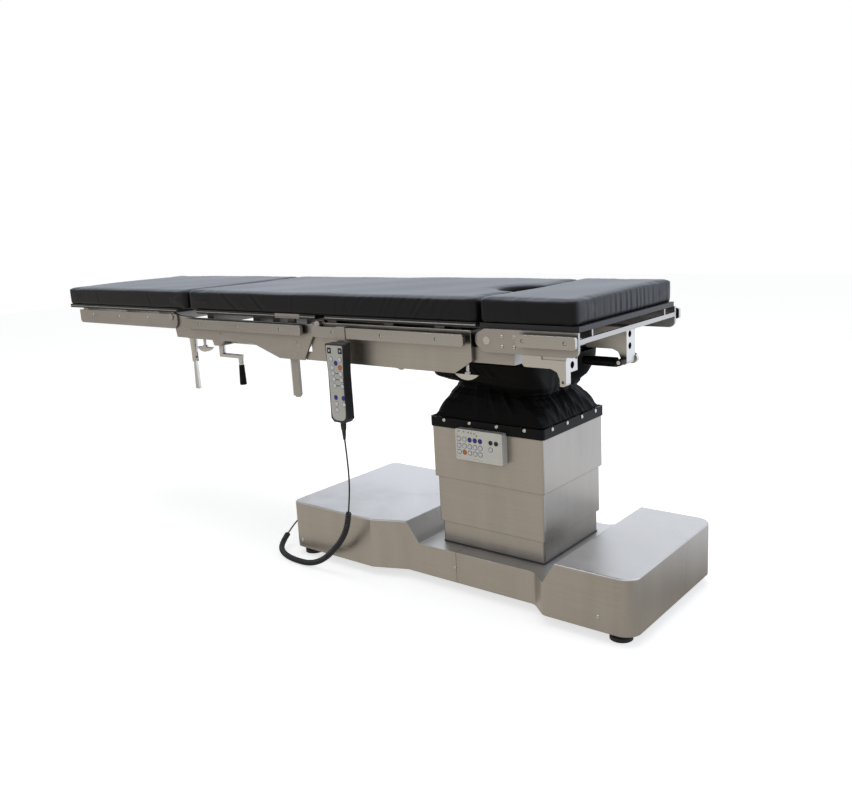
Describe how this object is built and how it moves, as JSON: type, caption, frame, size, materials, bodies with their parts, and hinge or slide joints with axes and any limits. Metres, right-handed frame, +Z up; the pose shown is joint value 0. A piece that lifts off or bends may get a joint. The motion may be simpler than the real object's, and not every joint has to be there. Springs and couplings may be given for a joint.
{
  "type": "operating table",
  "caption": "Electric operating table: low base, telescoping column with bellows, and a sectioned padded top with side rails, kidney bridge, handset and panel.",
  "frame": {"origin": "on the floor, midway between the head end of the table top and the right end of the base, on the table's centre line", "axes": "+X points along the top from the head section to the leg extension, +Y across it, away from the side with the handset, and +Z up"},
  "size_m": [2.1759, 0.569, 0.777],
  "materials": {
    "stainless": "brushed stainless sheet",
    "polished_steel": "fine ground stainless bar",
    "frame_steel": "satin stainless plate and tube",
    "hardware_steel": "bright turned steel",
    "cast_steel": "painted dark steel",
    "tube_steel": "ground tube",
    "foot_rubber": "matt black",
    "unit_case": "grey enamel",
    "battery_case": "matt dark grey",
    "black_plastic": "satin black",
    "lever_chrome": "polished",
    "panel_foil": "dark foil keypad",
    "handset_plastic": "satin dark grey",
    "cord_rubber": "matt black",
    "bellows_rubber": "matt dark grey",
    "board_black": "satin black",
    "pad_leatherette": "soft grained black"
  },
  "bodies": {
    "base": {"base_casing_left": "stainless", "base_casing_right": "stainless", "chassis_plate": "cast_steel", "levelling_feet": "foot_rubber", "lower_cover": "stainless", "column_outer_tube": "tube_steel", "lift_ram_barrel": "tube_steel", "power_unit": "unit_case", "battery_pack": "battery_case", "base_sockets": "black_plastic", "cord_plug": "cord_rubber", "cord_curl": "cord_rubber", "cord_tail": "cord_rubber"},
    "middle_stage": {"middle_cover": "stainless", "column_middle_tube": "tube_steel", "lift_ram_stage": "tube_steel"},
    "lift_stage": {"upper_cover": "stainless", "clamp_strip": "black_plastic", "strip_screws": "hardware_steel", "column_inner_tube": "tube_steel", "column_head": "cast_steel", "lift_ram_rod": "tube_steel", "control_panel": "panel_foil", "bellows": "bellows_rubber"},
    "cross": {"tilt_cross": "hardware_steel"},
    "saddle": {"saddle": "cast_steel"},
    "seat": {"seat_frame": "frame_steel", "seat_side_covers": "stainless", "seat_rails": "polished_steel", "seat_hinge_pins": "hardware_steel", "seat_board": "board_black", "seat_pad": "pad_leatherette", "handset": "handset_plastic", "handset_hook": "polished_steel", "cord_lead": "cord_rubber"},
    "back": {"back_frame": "frame_steel", "back_rails": "polished_steel", "back_board": "board_black", "back_pad": "pad_leatherette", "bridge_gearboxes": "cast_steel", "head_hinge_pins": "hardware_steel", "lever_socket": "lever_chrome"},
    "bridge": {"kidney_bridge": "frame_steel"},
    "pinion_shaft": {"bridge_shaft": "hardware_steel"},
    "drive_shaft": {"bridge_drive_shaft": "hardware_steel"},
    "crank": {"crank": "hardware_steel"},
    "crank_grip": {"crank_grip": "black_plastic"},
    "lever": {"release_lever": "lever_chrome"},
    "head_knob": {"head_clamp_knob": "hardware_steel"},
    "leg_knob": {"leg_clamp_knob": "hardware_steel"},
    "head": {"head_frame": "frame_steel", "head_board": "board_black", "head_pad": "pad_leatherette"},
    "leg": {"leg_frame": "frame_steel", "leg_rails": "polished_steel", "leg_board": "board_black", "leg_pad": "pad_leatherette", "leg_brackets": "frame_steel", "leg_strut": "black_plastic", "leg_pin": "hardware_steel"}
  },
  "joints": [
    {"name": "column_lift", "type": "slide", "parent": "base", "child": "lift_stage", "axis": [0, 0, 1], "range_m": [-0.11, 0.15], "deforming": ["cord_curl", "cord_lead", "cord_tail"]},
    {"name": "middle_stage_lift", "type": "slide", "parent": "base", "child": "middle_stage", "axis": [0, 0, 1], "range_m": [-0.055, 0.075]},
    {"name": "table_tilt", "type": "hinge", "parent": "lift_stage", "child": "cross", "pos_m": [0.648, 0, 0.52], "axis": [0, -1, 0], "range_deg": [-20, 20], "deforming": ["bellows"]},
    {"name": "table_roll", "type": "hinge", "parent": "cross", "child": "saddle", "pos_m": [0.648, 0, 0.52], "axis": [1, 0, 0], "range_deg": [-20, 20]},
    {"name": "top_slide", "type": "slide", "parent": "saddle", "child": "seat", "axis": [1, 0, 0], "range_m": [0, 0.3]},
    {"name": "back_hinge", "type": "hinge", "parent": "seat", "child": "back", "pos_m": [0.188, 0, 0.696], "axis": [0, 1, 0], "range_deg": [-15, 75], "deforming": ["seat_pad", "back_pad"]},
    {"name": "head_hinge", "type": "hinge", "parent": "back", "child": "head", "pos_m": [-0.469, 0, 0.694], "axis": [0, 1, 0], "range_deg": [-75, 15], "deforming": ["head_pad"]},
    {"name": "leg_hinge", "type": "hinge", "parent": "seat", "child": "leg", "pos_m": [0.737, 0, 0.68], "axis": [0, 1, 0], "range_deg": [-15, 30], "deforming": ["leg_pad"]},
    {"name": "bridge_lift", "type": "slide", "parent": "back", "child": "bridge", "axis": [0, 0, 1], "range_m": [0, 0.11]},
    {"name": "pinion_shaft_turn", "type": "hinge", "parent": "back", "child": "pinion_shaft", "pos_m": [0.0276, 0, 0.616], "axis": [0, 1, 0], "range_deg": [-389.5, 0]},
    {"name": "drive_shaft_turn", "type": "hinge", "parent": "back", "child": "drive_shaft", "pos_m": [-0.1, -0.208, 0.6225], "axis": [1, 0, 0], "range_deg": [0, 1089.8]},
    {"name": "crank_turn", "type": "hinge", "parent": "back", "child": "crank", "pos_m": [-0.254, -0.232, 0.6], "axis": [0, 0, 1], "range_deg": [0, 1089.8]},
    {"name": "grip_spin", "type": "hinge", "parent": "crank", "child": "crank_grip", "pos_m": [-0.17, -0.232, 0.53], "axis": [0, 0, 1], "continuous": true},
    {"name": "lever_squeeze", "type": "hinge", "parent": "back", "child": "lever", "pos_m": [-0.393, -0.232, 0.563], "axis": [0, 1, 0], "range_deg": [0, 20], "stiffness_Nm_per_rad": 1.5, "springref_deg": -17.19},
    {"name": "head_knob_turn", "type": "hinge", "parent": "back", "child": "head_knob", "pos_m": [-0.336, -0.232, 0.603], "axis": [0, 0, 1], "continuous": true},
    {"name": "leg_knob_turn", "type": "hinge", "parent": "seat", "child": "leg_knob", "pos_m": [0.667, -0.232, 0.594], "axis": [0, 0, 1], "continuous": true}
  ],
  "couplings": [
    {"joint": "middle_stage_lift", "follows": "column_lift", "ratio": 0.5},
    {"joint": "pinion_shaft_turn", "follows": "bridge_lift", "rad_per_m": -61.728},
    {"joint": "drive_shaft_turn", "follows": "bridge_lift", "rad_per_m": 172.84},
    {"joint": "crank_turn", "follows": "bridge_lift", "rad_per_m": 172.84}
  ]
}
